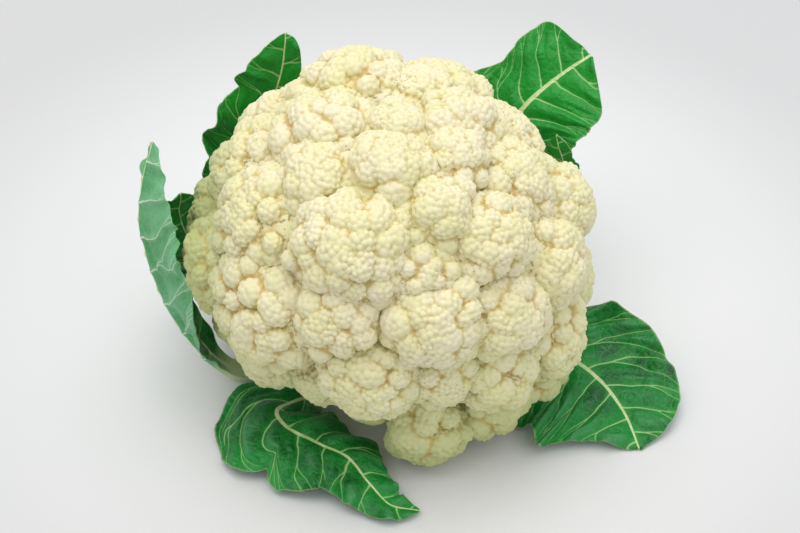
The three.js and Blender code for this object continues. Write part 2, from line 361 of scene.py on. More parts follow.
# flat map: the dome in a disc, with the far end of the stem in a corner of its own
def domeMap(ball, faces):
    polar = (np.arccos(np.clip(ball[:, 2], -1, 1)) / math.pi)[:, None]
    swing = np.arctan2(ball[:, 1], ball[:, 0])
    outward = np.stack([np.cos(swing), np.sin(swing)], axis=1)
    disc = 0.5 + 0.49 * polar * outward
    spot = 0.05 + 0.3 * (1 - polar) * outward
    farEnd = polar[faces, 0].max(axis=1) > 0.9
    return np.where(farEnd[:, None, None], spot[faces], disc[faces])


def floretShape(name, dice):
    solidPoints, solidFaces = nodeMesh(name)
    tree = BVHTree.FromPolygons(solidPoints.tolist(), solidFaces.tolist())
    axis, wide, centre = measureFloret(solidPoints, solidFaces)
    turn = turnTo(Vector(axis))
    ball, faces, ways = domeBall(wide, turn)

    # how far the knobs may reach: to the solid, and further over the grooves between florets
    solid = np.zeros(len(ways))
    for i, way in enumerate(ways):
        hit, _, _, distance = tree.ray_cast(Vector(centre), Vector(way))
        solid[i] = distance if hit is not None else solid[i - 1]
    skin = smoothOver(solid, faces, 3)
    depth = sunkBelow(centre + ways * skin[:, None]) * headRadii.mean()
    fill = curd["fill"] * np.clip(depth - curd["fillStart"], 0, curd["fillDeepest"])
    fill *= 1 - ramp(depth, *curd["fillFade"])
    fill *= ramp(centre[2] + ways[:, 2] * skin, *curd["fillHeight"])
    dome = ramp(ways @ axis, -0.35, 0.7)
    stand = (curd["swell"].get(name, 0) * mm - curd["inset"]) * dome
    skin = smoothOver(skin + fill + stand, faces, 6)
    solid += np.minimum(stand, 0)

    # the outermost surface of the knobs along every way, and how their buds stand out of it
    lobes, buds = growKnobs(ways, skin, axis, wide, turn, dice)
    knobs = farthest(ways, lobes)
    cores = farthest(ways, lobes * [1, 1, 1, curd["lobeCore"]])
    relief = np.clip(np.maximum(farthest(ways, buds), cores) - knobs, *curd["relief"]) * (knobs > 0)
    usual, change, weakest, strongest = curd["calm"]
    calm = usual + change * softNoise(centre + ways * knobs[:, None], curd["calmPatch"])
    share, more, start, length = curd["least"]
    least = share + more * ramp(depth, start, length)
    reach = np.clip(knobs, skin * least, skin + curd["slack"]) + relief * np.clip(calm, weakest, strongest)
    reach = np.maximum(reach, solid * least)
    toLowest = (centre[2] - solidPoints[:, 2].min()) / np.maximum(-ways[:, 2], 1e-6)
    reach = np.where(ways[:, 2] < 0, np.minimum(reach, toLowest), reach)
    points = centre + ways * reach[:, None]
    values = {
        "budCrease": (smoothOver(reach, faces, 6) - reach) / mm,
        "lobeCrease": (smoothOver(reach, faces, 40) - reach) / mm,
        "sunk": sunkBelow(points),
        "low": (points[:, 2] - headLow[2]) / (headHigh[2] - headLow[2]),
    }
    return points, faces, domeMap(ball, faces), values


def curdMaterial():
    paint = Paint("curdFlesh")
    bud, lobe = paint.attribute("budCrease"), paint.attribute("lobeCrease")
    sunk, low = paint.attribute("sunk"), paint.attribute("low")
    patches = paint.noise(26 * mm, 3)
    blotches = paint.noise(7 * mm, 3)
    # cream, greener low down, partly the curd's own tint and partly painted shade that darkens it towards
    # the bottom
    cream = paint.mix((0.75, 0.705, 0.42), (0.79, 0.73, 0.51), paint.rise(patches, 0.35, 0.65))
    cream = paint.mix(cream, (0.71, 0.69, 0.35), paint.rise(blotches, 0.45, 0.75) * 0.6)
    green = paint.mix((0.60, 0.65, 0.31), (0.38, 0.45, 0.14), paint.rise(low, 0.33, 0.02))
    cream = paint.mix(cream, green, paint.rise(low, 0.60, 0.05) * 0.75)
    # painted shade: darker green on the left side, where the leaves shade the curd
    leftShadePainted = paint.rise(paint.placeAlong("X"), -60 * mm, -86 * mm) * 0.85
    cream = paint.mix(cream, (0.40, 0.46, 0.17), leftShadePainted)
    # tan and olive in the creases, partly the curd's own tint and partly painted shade
    tan = paint.mix((0.60, 0.40, 0.11), (0.54, 0.43, 0.12), paint.rise(blotches, 0.4, 0.6))
    valley = paint.rise(lobe, 0.20, 1.3) * paint.rise(patches, 0.25, 0.6, 0.55, 1.0)
    colour = paint.mix(cream, (0.60, 0.50, 0.16), paint.rise(bud, 0.03, 0.30) * 0.38)
    colour = paint.mix(colour, tan, valley * 0.70)
    # painted shade: darker brown in the deep gaps between florets, where they sink below the head's outline
    colour = paint.mix(colour, (0.44, 0.32, 0.10), paint.rise(sunk, 0.11, 0.25) * 0.60)
    # dark specks in a few places
    speckZone = paint.rise(paint.noise(16 * mm, 2), 0.50, 0.64) * paint.rise(sunk, -0.02, 0.07)
    specks = paint.rise(paint.cells(1.7 * mm), 0.25, 0.10)
    colour = paint.mix(colour, (0.22, 0.13, 0.04), specks * speckZone * 0.7)
    grains = paint.cells(1.5 * mm, "SMOOTH_F1") * -1.0 + paint.noise(1.1 * mm, 2) * 0.3
    return paint.finish(Base_Color=colour, Roughness=0.62, Subsurface_Weight=0.12,
                        Subsurface_Radius=(0.9, 0.6, 0.25), Subsurface_Scale=2.5 * mm,
                        Specular_IOR_Level=0.3, Normal=paint.bump(grains, 0.45, 0.30 * mm))


flesh = curdMaterial()
for order, name in enumerate(floretNames):
    points, faces, uv, values = floretShape(name, random.Random(300 + order))
    handIn(makeMesh(name + "_buds", points, faces.tolist(), uv, values, flesh), name)
print("curd:", len(floretNames), "florets")


leafLook = {
    "rowStep": 0.75 * mm,
    "columns": 66,                # on each half
    "blade": 0.34 * mm,           # half of the blade's thickness
    "edgeThin": 0.55,             # share of it that is lost at the edge
    "quilt": 1.3 * mm,            # how far the blade puffs up between veins
    "quiltReach": (2.6 * mm, 3 * mm),  # from a side vein and from the midrib
    "crinkle": 1.5 * mm,
    "crinkleSize": (11 * mm, 5 * mm),
    "folds": 1.5 * mm,            # long folds that run with the side veins
    "foldSize": (0.42, 0.19),     # in distances between veins
    "veinRise": 0.45 * mm,        # veins stand out on the back
    "veinHalf": (0.55 * mm, 0.75 * mm),  # at the edge, and what the midrib's end has more
    "veinWander": ((17 * mm, 0.24), (6 * mm, 0.09)),
    "ribHeight": 0.8,             # against half of the stem's width
    "ribEnd": 0.35 * mm,
    "raggedSize": (9.0, 3.6),     # in mm
    "tipRound": 0.045,            # share of the length
    "clear": 0.3 * mm,            # above the table
}

# path is the midrib in mm. stem is half of its width and its share of the length. left and right hold the
# half widths along the blade and how far that half curls up. ruffle is height, waves and start. edge is the
# height and length of the waves at the edge. notches are side, place, depth and half length, and a lobe has
# a depth below 0. pulls are side, place, half length and move. tip and grow are mm added to the half widths.
leafShapes = {
    "leaf_right": {
        "path": [(24, 6, 8), (45, 11, 8), (62, 9, 9), (75, -1, 10.5), (88, -15, 10), (98, -32, 6.5),
                 (103, -50, 3)],
        "stem": (7.5, 0.26), "faceRoot": (0, -0.12, 1), "faceTip": (0.1, -0.1, 1),
        "left": ((8, 22, 30, 33, 33, 30, 25, 15, 2), 0.5),
        "right": ((8, 34, 44, 44, 40, 35, 27, 15, 2), -0.1),
        "ruffle": (2, 2.5, 0.1), "edge": (1.6, 24), "ragged": 0.035, "pitch": 13, "rib": 2.0,
        "notches": [("right", 0.87, -0.60, 0.09), ("right", 0.935, 0.20, 0.018)], "tip": 3, "grow": 2.0,
        "pulls": [("right", 0.82, 0.10, (-2, -7, 0))],
    },
    "leaf_front_left": {
        "path": [(-20.6, -12.4, 7), (-40, -24, 8), (-55, -36, 10.5), (-50, -49, 13), (-37, -58, 13.5),
                 (-23, -66, 12), (-13, -78, 8.5), (-4, -86, 5), (8, -87, 2.5)],
        "stem": (6.5, 0.14), "faceRoot": (-0.1, 0, 1), "faceTip": (0, -0.1, 1),
        "left": ((6, 16, 20, 20, 18, 17, 13, 8, 2), -0.8),
        "right": ((7, 20, 29, 27, 24, 19, 14, 8, 2), -0.5),
        "ruffle": (1.4, 2.5, 0.3), "edge": (1.4, 26), "ragged": 0.05, "pitch": 14, "rib": 1.3,
        "notches": [("right", 0.47, 0.30, 0.018), ("left", 0.50, -0.35, 0.10), ("left", 0.76, 0.25, 0.08)],
        "tip": 0, "grow": 0.6, "pulls": [],
    },
    "leaf_left": {
        "path": [(-24, 1, 8), (-50, 3, 8), (-73, -5, 11), (-89, -5, 29), (-102, -1, 53), (-109, 6, 81),
                 (-108, 12, 99), (-103, 17, 116)],
        "stem": (7, 0.34), "faceRoot": (0.1, 0, 1), "faceTip": (0.89, 0.46, 0),
        "left": ((6, 10, 20, 27, 30, 29, 24, 14, 2), 0.5),
        "right": ((6, 8, 11, 12, 13, 12, 10, 6, 2), 1.1),
        "ruffle": (1.2, 2.5, 0), "edge": (1.0, 26), "ragged": 0.04, "pitch": 16, "rib": 1.6,
        "notches": [("left", 0.56, -0.22, 0.12)], "tip": 1, "grow": 3.0, "pulls": [],
    },
    "leaf_left_small": {
        "path": [(-21.4, 10.8, 19), (-50, 25, 19), (-82, 37, 30), (-95, 38, 48), (-98, 36, 63),
                 (-96, 33, 76)],
        "stem": (5, 0.45), "faceRoot": (0.2, 0, 1), "faceTip": (0.5, -0.85, 0.2),
        "left": ((5, 6, 9, 12, 14, 14, 12, 8, 2), 0.3),
        "right": ((5, 6, 9, 12, 14, 14, 12, 8, 2), 0.3),
        "ruffle": (0.8, 2, 0.2), "edge": (0.8, 18), "ragged": 0.05, "pitch": 10, "rib": 1.2,
        "notches": [], "tip": 2, "grow": 2.0, "pulls": [],
    },
    "leaf_back_left": {
        "path": [(-14.8, 19, 8), (-34, 44, 8), (-55, 70, 25), (-64, 79, 56), (-60, 78, 88), (-53, 79, 112),
                 (-51, 80, 129)],
        "stem": (7.5, 0.3), "faceRoot": (0.1, -0.1, 1), "faceTip": (0.3, -0.95, 0.2),
        "left": ((7, 11, 18, 24, 27, 28, 20, 12, 3), 0.3),
        "right": ((7, 11, 16, 18, 18, 14, 9, 5, 3), 0.3),
        "ruffle": (2.2, 3, 0.2), "edge": (2.2, 22), "ragged": 0.09, "pitch": 13, "rib": 1.4,
        "notches": [("left", 0.83, 0.34, 0.02), ("left", 0.66, 0.12, 0.02)],
        "tip": 2, "grow": 1.4, "pulls": [],
    },
    "leaf_back_right": {
        "path": [(15.4, 18.4, 8), (32, 39, 8), (48, 64, 22), (50, 79, 48), (50, 83, 72), (56, 85, 86),
                 (70, 89, 99), (86, 92, 110)],
        "stem": (7.5, 0.58), "faceRoot": (-0.1, -0.1, 1), "faceTip": (-0.3, -0.75, 0.75),
        "left": ((7, 16, 26, 30, 29, 27, 23, 17, 4), 0.2),
        "right": ((7, 18, 29, 36, 37, 34, 29, 21, 4), 0.2),
        "ruffle": (1.4, 3, 0.4), "edge": (1.2, 24), "ragged": 0.05, "pitch": 11, "rib": 3.0,
        "notches": [("left", 0.82, 0.36, 0.09), ("left", 0.54, -0.42, 0.13), ("right", 0.80, 0.24, 0.17)],
        "tip": 5, "grow": 2.5, "pulls": [],
    },
    "leaf_back_right_small": {
        "path": [(21.4, 11, 19), (46, 25, 19), (69, 46, 31), (77, 56, 54), (74, 56, 74), (69, 54, 92)],
        "stem": (4.5, 0.5), "faceRoot": (-0.2, 0, 1), "faceTip": (-0.5, -0.8, 0.1),
        "left": ((4, 5, 7, 9, 11, 11, 9, 6, 2), 0.2),
        "right": ((4, 5, 7, 9, 11, 11, 9, 6, 2), 0.2),
        "ruffle": (0.8, 3, 0.1), "edge": (1.0, 12), "ragged": 0.12, "pitch": 8, "rib": 1.2,
        "notches": [("right", 0.66, 0.5, 0.22)], "tip": 0, "grow": 0.6, "pulls": [],
    },
}


# an even run of points on a smooth curve through the path, the way it goes there, and its length
def smoothSpine(path, shares):
    knots = np.array(path, float) * mm
    knots = np.concatenate([[2 * knots[0] - knots[1]], knots, [2 * knots[-1] - knots[-2]]])
    q = np.linspace(0, 1, 60, endpoint=False)[:, None]
    run = []
    for a, b, c, d in zip(knots, knots[1:], knots[2:], knots[3:]):
        ab, bc, cd = (np.linalg.norm(y - x) ** 0.5 for x, y in ((a, b), (b, c), (c, d)))
        leave = ((b - a) / ab - (c - a) / (ab + bc) + (c - b) / bc) * bc
        enter = ((c - b) / bc - (d - b) / (bc + cd) + (d - c) / cd) * bc
        run.append(b + leave * q + (3 * (c - b) - 2 * leave - enter) * q ** 2
                   + (2 * (b - c) + leave + enter) * q ** 3)
    run = np.concatenate(run + [knots[-2:-1]])
    length = np.concatenate([[0], np.linalg.norm(np.diff(run, axis=0), axis=1).cumsum()])
    at = np.stack([np.interp(shares * length[-1], length, run[:, k]) for k in range(3)], axis=1)
    along = np.gradient(at, axis=0)
    return at, along / np.linalg.norm(along, axis=1, keepdims=True), length[-1]


# the stem widens evenly, and the blade follows a smooth curve through its half widths
def widthAlong(widths, stemHalf, stemShare, shares):
    widths = np.array(widths, float)
    last = len(widths) - 1
    place = np.clip(last * (shares - stemShare) / (1 - stemShare), 0, last)
    i = np.minimum(place.astype(int), last - 1)
    q = place - i
    near, far = widths[i], widths[i + 1]
    bend = (far - widths[np.maximum(i - 1, 0)]) / 2
    nextBend = (widths[np.minimum(i + 2, last)] - near) / 2
    blade = near + bend * q + (3 * (far - near) - 2 * bend - nextBend) * q ** 2 \
        + (2 * (near - far) + bend + nextBend) * q ** 3
    stem = stemHalf + (widths[0] - stemHalf) * shares / stemShare
    return np.where(shares < stemShare, stem, blade) * mm


# half of the leaf's outline, with its ragged edge, notches, lobes and rounded tip
def halfOutline(leaf, side, width, ragged, shares):
    blade = ramp(shares, leaf["stem"][1], 0.12)
    coarse, fine = leafLook["raggedSize"]
    cut = leaf["ragged"] * (softNoise(ragged, coarse) + 0.6 * softNoise(ragged, fine)) * blade
    for where, place, depth, half in leaf["notches"]:
        if where == side:
            cut = cut - depth * np.exp(-np.abs((shares - place) / half) ** 1.5)
    full = leaf["tip"] * mm * ramp(shares, 0.72, 0.22)
    tipRound = leafLook["tipRound"]
    arc = np.sqrt(np.clip(1 - ((shares - 1 + tipRound) / tipRound) ** 2, 0.01, 1))
    outline = width * (1 + cut) + leaf["grow"] * mm * blade + full
    return outline * np.where(shares > 1 - tipRound, arc, 1)


# the middle of the blade as a grid, and what its veins and waves need, row by row and column by column
def leafGrid(name, leaf, dice):
    stemHalf, stemShare = leaf["stem"]
    length = smoothSpine(leaf["path"], np.linspace(0, 1, 2))[2]
    shares = np.linspace(0, 1, int(length / leafLook["rowStep"]))
    at, along, length = smoothSpine(leaf["path"], shares)
    face = np.array(leaf["faceRoot"]) * (1 - shares[:, None]) + np.array(leaf["faceTip"]) * shares[:, None]
    face -= along * (face * along).sum(axis=1, keepdims=True)
    face /= np.linalg.norm(face, axis=1, keepdims=True)
    across = np.cross(along, face)
    columns = leafLook["columns"]
    t = np.linspace(-1, 1, 2 * columns + 1)
    ruffle, waves, start = leaf["ruffle"]
    edgeHeight, edgeLength = leaf["edge"]
    pitch = leaf["pitch"] * mm
    shape = (len(shares), len(t))
    points, plain = np.zeros(shape + (3,)), np.zeros(shape + (3,))
    kept = ("wide", "count", "outward", "edgeWave", "firstFork", "secondFork", "fold")
    keep = {key: np.zeros(shape) for key in kept}
    # where each vein forks, and how fast the forks part
    forks = np.array([[dice.uniform(0.30, 0.80), dice.uniform(0.20, 0.42), dice.uniform(0.66, 1.10),
                       dice.uniform(0.10, 0.30)] for _ in range(80)])
    for side, sign in (("left", -1), ("right", 1)):
        widths, curlHalf = leaf[side]
        width = widthAlong(widths, stemHalf, stemShare, shares)
        spread = width / (max(widths) * mm)
        seed = dice.uniform(0, 50)
        ragged = np.column_stack([shares * length / mm, 0 * shares + seed, 0 * shares])
        outline = halfOutline(leaf, side, width, ragged, shares)
        phase = dice.uniform(0, 2 * math.pi) + 4 * 0.35 * softNoise(ragged + 7, 30.0)
        swing = np.sin(2 * math.pi * shares * length / (edgeLength * mm) + phase)
        swing *= spread * ramp(shares, stemShare, 0.12) * edgeHeight * mm
        curl = curlHalf * spread + 1e-3
        for column in range(columns + 1):
            j = columns + sign * column
            share = abs(t[j])
            wave = ruffle * mm * spread * share ** 2 * np.sin(2 * math.pi * (waves * shares + start) + t[j])
            for target, w in ((points, outline), (plain, width)):
                out = sign * w * np.sin(curl * share) / curl
                up = w * (1 - np.cos(curl * share)) / curl + wave
                target[:, j] = at + across * out[:, None] + face * up[:, None]
            for where, place, half, move in leaf["pulls"]:
                if where == side:
                    points[:, j] += np.outer(np.exp(-((shares - place) / half) ** 2), move) * mm * share ** 2
            u = share * width
            run = 0.40 * u + 0.40 * u ** 2 / np.maximum(width, 1e-4)
            spot = np.column_stack([shares * length, u * 1.3, 0 * u + sign * 0.4])
            wobble = sum(amount * softNoise(spot, size) for size, amount in leafLook["veinWander"])
            number = (shares * length - run) / pitch + wobble + (0.5 if sign > 0 else 0)
            fork = forks[(np.round(number).astype(int) * 2 + (sign > 0)) % len(forks)]
            ridge = np.column_stack([number, 0 * u + 0.55 * share, 0 * u + seed])
            coarse, fine = leafLook["foldSize"]
            keep["wide"][:, j] = outline
            keep["outward"][:, j] = share
            keep["count"][:, j] = number
            keep["fold"][:, j] = softNoise(ridge, coarse) + 0.5 * softNoise(ridge, fine)
            keep["firstFork"][:, j] = np.maximum(share - fork[:, 0], 0) * width * fork[:, 1]
            keep["secondFork"][:, j] = np.maximum(share - fork[:, 2], 0) * width * fork[:, 3]
            keep["edgeWave"][:, j] = swing * share ** 3
    # the plain leaf fits its solid's box
    low, high = (np.array(corner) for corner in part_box(name))
    plain = plain.reshape(-1, 3)
    ownLow, ownHigh = plain.min(axis=0), plain.max(axis=0)
    stretch = 1 + np.clip((high - low) / (ownHigh - ownLow) - 1, -0.04, 0.04)
    return (points - (ownLow + ownHigh) / 2) * stretch + (low + high) / 2, shares, keep


# distance to the nearest side vein, which forks twice on its way to the edge
def toSideVein(keep, pitch):
    aside = np.abs(keep["count"] - np.round(keep["count"])) * pitch
    return np.abs(np.abs(aside - keep["firstFork"]) - keep["secondFork"])


# the inner face, the outer face and the rim between them, with a flat map of each face side by side
def leafSkin(upper, lower, s, t):
    total = s.size
    index = np.arange(total).reshape(s.shape)
    a, b, c, d = (index[:-1, :-1], index[:-1, 1:], index[1:, 1:], index[1:, :-1])
    top = np.stack([a, b, c, d], axis=-1).reshape(-1, 4)
    rim = np.concatenate([index[0, :], index[1:, -1], index[-1, -2::-1], index[-2:0:-1, 0]])
    following = np.roll(rim, -1)
    edge = np.stack([rim, rim + total, following + total, following], axis=1)
    faces = np.concatenate([top, top[:, ::-1] + total, edge])
    mapU = (0.02 + 0.46 * (t + 1) / 2)[None, :] + 0 * s
    inner = np.stack([mapU.ravel(), (0.02 + 0.96 * s).ravel()], axis=1)
    uv = np.concatenate([inner, inner + [0.5, 0]])[faces]
    beside = inner[rim]
    beside[:, 0] += np.where(beside[:, 0] > 0.25, 0.008, -0.008)
    uv[2 * len(top):] = np.stack([inner[rim], beside, np.roll(beside, -1, axis=0), inner[following]], axis=1)
    return np.concatenate([upper.reshape(-1, 3), lower.reshape(-1, 3)]), faces, uv


def makeLeaf(name, leaf, dice, material):
    points, shares, keep = leafGrid(name, leaf, dice)
    stemHalf, stemShare = leaf["stem"]
    t = np.linspace(-1, 1, points.shape[1])
    s = shares[:, None] + 0 * t
    outward = keep["outward"]
    normal = np.cross(np.gradient(points, axis=1), np.gradient(points, axis=0))
    normal /= np.maximum(np.linalg.norm(normal, axis=2, keepdims=True), 1e-12)

    # the blade puffs up between veins, crinkles, and folds along its side veins
    inBlade = ramp(s, stemShare * 0.92, 0.10 * (1 - stemShare))
    toRib = outward * keep["wide"]
    toVein = toSideVein(keep, leaf["pitch"] * mm)
    veinReach, ribReach = leafLook["quiltReach"]
    puff = (1 - np.exp(-(toVein / veinReach) ** 2)) * (1 - np.exp(-(toRib / ribReach) ** 2))
    flat = points.reshape(-1, 3)
    coarse, fine = leafLook["crinkleSize"]
    crinkle = (softNoise(flat + 0.03, coarse) + 0.5 * softNoise(flat + 0.05, fine)).reshape(s.shape)
    crinkle *= 0.35 + 0.65 * outward
    fold = keep["fold"] * puff * np.clip(outward * 2.2, 0, 1)
    lift = puff * leafLook["quilt"] + crinkle * leafLook["crinkle"] + fold * leafLook["folds"]
    middle = points + normal * (inBlade * lift + keep["edgeWave"])[:, :, None]

    # the midrib and the veins stand out at the back
    thin = leafLook["blade"] * (1 - leafLook["edgeThin"] * outward ** 6)
    ribHalf = stemHalf * mm * (1 - s) ** 1.2 + leafLook["ribEnd"]
    rib = ribHalf * leafLook["ribHeight"] * np.clip(1 - (toRib / (ribHalf * 1.15)) ** 2, 0, 1) ** 0.7
    atEdge, more = leafLook["veinHalf"]
    vein = np.exp(-(toVein / (atEdge + more * (1 - outward))) ** 2)
    vein *= leafLook["veinRise"] * (1.1 - outward) * inBlade
    upper = middle + normal * (thin - 0.3 * vein)[:, :, None]
    lower = middle - normal * (thin + rib + vein)[:, :, None]
    sag = np.maximum(leafLook["clear"] - lower[:, :, 2], 0)  # nothing goes through the table
    lower[:, :, 2] += sag
    upper[:, :, 2] = np.maximum(upper[:, :, 2], np.where(sag > 0, lower[:, :, 2] + 0.5 * mm, -1))

    stemNear = np.clip(1 - s / stemShare, 0, 1)
    painted = {
        "outward": outward,
        "wide": keep["wide"] / mm,
        "veinCount": keep["count"],
        "firstFork": keep["firstFork"] / mm,
        "secondFork": keep["secondFork"] / mm,
        "pitch": 0 * s + leaf["pitch"],
        "ribHalf": leaf["rib"] * (1 - 0.8 * s) + stemHalf * stemNear * 0.8,
        "inBlade": inBlade,
        "fold": fold,
    }
    values = {key: np.tile(value.ravel(), 2) for key, value in painted.items()}
    values["back"] = np.repeat([0.0, 1.0], s.size)
    places, faces, uv = leafSkin(upper, lower, s, t)
    handIn(makeMesh(name + "_blade", places, faces.tolist(), uv, values, material), name)


def leafMaterial():
    paint = Paint("leafSkin")
    outward, wide, pitch = (paint.attribute(key) for key in ("outward", "wide", "pitch"))
    back, blade = paint.attribute("back"), paint.attribute("inBlade")
    toRib = outward * wide

    def size(value):
        return paint.node("ShaderNodeMath", {"operation": "ABSOLUTE"}, {0: value})

    count = paint.attribute("veinCount")
    aside = paint.node("ShaderNodeMath", {"operation": "PINGPONG"}, {0: count, 1: 0.5})
    aside = size(aside * pitch - paint.attribute("firstFork"))
    aside = size(aside - paint.attribute("secondFork"))
    side = paint.rise(aside / (0.17 + 0.36 * (1 - outward)), 1.35, 0.45) * blade * (1 - 0.35 * outward)
    halo = paint.rise(aside, 3.2, 0.4) * blade
    rib = paint.rise(toRib / paint.attribute("ribHalf"), 1.15, 0.75)
    ribHalo = paint.rise(toRib, 5.5, 1.0)
    net = paint.cells(4.2 * mm, "DISTANCE_TO_EDGE", 0.9)
    fineNet = paint.cells(1.7 * mm, "DISTANCE_TO_EDGE")
    lines, fineLines = paint.rise(net, 0.055, 0.0), paint.rise(fineNet, 0.10, 0.0)
    broad = paint.noise(24 * mm, 3)
    mottle = paint.noise(5 * mm, 3)
    # the inner face: deep green and satin, with painted sheen on the folds and painted light high up
    green = paint.mix((0.0, 0.060, 0.010), (0.0, 0.215, 0.026), paint.rise(broad, 0.32, 0.66))
    green = paint.mix(green, (0.006, 0.23, 0.026), paint.rise(mottle, 0.45, 0.8) * 0.45)
    # painted sheen: a lighter greyish green on the crests of the folds
    green = paint.mix(green, (0.09, 0.31, 0.13), paint.rise(paint.attribute("fold"), -0.15, 0.8) * 0.55)
    # painted light: brighter, more vivid green high up, where light shines through the leaves
    green = paint.mix(green, (0.0, 0.26, 0.010), paint.rise(paint.placeAlong("Z"), 45 * mm, 95 * mm) * 0.72)
    green = paint.mix(green, (0.012, 0.30, 0.03), lines * 0.55 + fineLines * 0.2)
    green = paint.mix(green, (0.02, 0.34, 0.035), halo * 0.22 + ribHalo * 0.15)
    green = paint.mix(green, (0.38, 0.62, 0.25), side * 0.80)
    green = paint.mix(green, (0.40, 0.55, 0.20), paint.rise(outward, 0.972, 0.995) * 0.45 * blade)
    # the outer face: pale, with a bluish bloom
    pale = paint.mix((0.08, 0.34, 0.12), (0.15, 0.43, 0.20), paint.rise(broad, 0.3, 0.7))
    pale = paint.mix(pale, (0.24, 0.52, 0.28), lines * 0.35 + halo * 0.25)
    pale = paint.mix(pale, (0.62, 0.80, 0.58), side * 0.85)
    skin = paint.mix(green, pale, back)
    ribTone = paint.mix((0.50, 0.66, 0.26), (0.66, 0.76, 0.44), paint.rise(mottle, 0.3, 0.7))
    skin = paint.mix(skin, ribTone, rib * 0.92)
    stem = paint.mix((0.50, 0.64, 0.30), (0.62, 0.72, 0.44), paint.noise(3 * mm, 3))
    skin = paint.mix(stem, skin, blade)
    gloss = 0.34 + paint.rise(mottle, 0.3, 0.8) * 0.14 + back * 0.14
    raised = paint.rise(net, 0.0, 0.30) * 0.6 + paint.rise(fineNet, 0.0, 0.35) * 0.25
    height = raised * blade - side * 0.5 + mottle * 0.2
    return paint.finish(Base_Color=skin, Roughness=gloss, Normal=paint.bump(height, 0.6, 0.5 * mm),
                        Specular_IOR_Level=0.34)


leafGreen = leafMaterial()
for order, (name, leaf) in enumerate(leafShapes.items()):
    makeLeaf(name, leaf, random.Random(40 + order), leafGreen)
print("leaves:", len(leafShapes))


stalkLook = {
    "around": 144,
    "cutRows": 26,
    "sideRows": 90,
    "capRows": 8,
    "inside": 0.4 * mm,           # under the solid's side
    "least": 1 * mm,              # half the width where the solid has no side
    "wander": 0.5 * mm,
    "scars": [(0.16, 5, 0.3), (0.34, 5, 0.9), (0.52, 5, 1.5)],  # height share, leaves round, turn
    "scarRise": 0.9 * mm,
    "dish": 0.7 * mm,             # the cut face is a little hollow
}


# scars of the leaves that were cut away, and a slow waviness
def stalkRise(share, around):
    rise = 0 * around
    for height, leaves, turn in stalkLook["scars"]:
        scallop = height + 0.045 * np.abs(np.sin(leaves * (around + turn) / 2))
        rise += np.exp(-((share - scallop) / 0.014) ** 2) * stalkLook["scarRise"]
        rise -= np.exp(-((share - scallop - 0.035) / 0.02) ** 2) * stalkLook["scarRise"] * 0.7
    where = np.stack([np.cos(around) * 22, np.sin(around) * 22, 0 * around + share * 20], axis=1)
    return rise + softNoise(where, 9.0) * stalkLook["wander"] - stalkLook["wander"]


# rings of points from the middle of the cut face, up the side and over the top
def stalkRings(around):
    solidPoints, solidFaces = nodeMesh("stalk")
    tree = BVHTree.FromPolygons(solidPoints.tolist(), solidFaces.tolist())
    bottom, top = stalkLow[2], stalkHigh[2]
    rows, cut, ring = [], [], []

    def radiusAt(z):
        hits = [tree.ray_cast(Vector((0, 0, z)), Vector((math.cos(a), math.sin(a), 0))) for a in around]
        return np.array([hit[3] if hit[0] is not None else stalkLook["least"] for hit in hits])

    def addRing(radius, z, inCut, share):
        rows.append(np.stack([radius * np.cos(around), radius * np.sin(around), 0 * around + z], axis=1))
        cut.append(inCut)
        ring.append(share)

    rim = radiusAt(bottom + 0.4 * mm) - 0.3 * mm
    for share in np.linspace(0.02, 1, stalkLook["cutRows"]):
        addRing(rim * share, bottom + stalkLook["dish"] * (1 - share ** 3), 1.0, share)
    for share in np.linspace(0.006, 0.985, stalkLook["sideRows"]):
        z = bottom + (top - bottom) * share
        radius = radiusAt(z) - stalkLook["inside"]
        addRing(radius + np.minimum(stalkRise(share, around), 0.3 * mm), z, 0.0, share)
    last = rows[-1]
    for share in np.linspace(0.85, 0.03, stalkLook["capRows"]):
        rows.append(last * [share, share, 1] + [0, 0, (1 - share ** 2) * 0.5 * mm])
        cut.append(0.0)
        ring.append(1.0)
    return np.array(rows), np.array(cut), np.array(ring)


# the cut face lies in a round patch of the flat map, and the side in a strip above it
def stalkMap(ring, turns):
    u = np.arange(turns) / turns
    corners = []
    for row in range(len(ring) - 1):
        for level, ahead in ((row, 0), (row, 1), (row + 1, 1), (row + 1, 0)):
            along = u + ahead / turns
            if row < stalkLook["cutRows"] - 1:
                spin = 2 * math.pi * along
                corners.append(0.25 + 0.23 * ring[level] * np.stack([np.cos(spin), np.sin(spin)], axis=1))
            else:
                height = np.full(turns, 0.52 + 0.46 * level / len(ring))
                corners.append(np.stack([0.02 + 0.96 * along, height], axis=1))
    return np.array(corners).reshape(-1, 4, turns, 2).transpose(0, 2, 1, 3).reshape(-1, 2)


def makeStalk(material):
    turns = stalkLook["around"]
    rows, cut, ring = stalkRings(np.linspace(0, 2 * math.pi, turns, endpoint=False))
    index = np.arange(len(rows) * turns).reshape(len(rows), turns)
    ahead = np.roll(index, -1, axis=1)
    sides = np.stack([index[:-1], ahead[:-1], ahead[1:], index[1:]], axis=-1).reshape(-1, 4)
    first = index.size
    bottomFan = np.stack([ahead[0], index[0], np.full(turns, first)], axis=1)
    topFan = np.stack([index[-1], ahead[-1], np.full(turns, first + 1)], axis=1)
    points = np.concatenate([rows.reshape(-1, 3), [rows[0].mean(axis=0), rows[-1].mean(axis=0)]])
    fans = np.repeat([[0.25, 0.25], [0.99, 0.99]], turns * 3, axis=0)
    uv = np.concatenate([stalkMap(ring, turns), fans])
    values = {key: np.concatenate([np.repeat(value, turns), value[[0, -1]]])
              for key, value in (("cutFace", cut), ("ring", ring))}
    faces = sides.tolist() + bottomFan.tolist() + topFan.tolist()
    handIn(makeMesh("stalk_cut", points, faces, uv, values, material), "stalk")


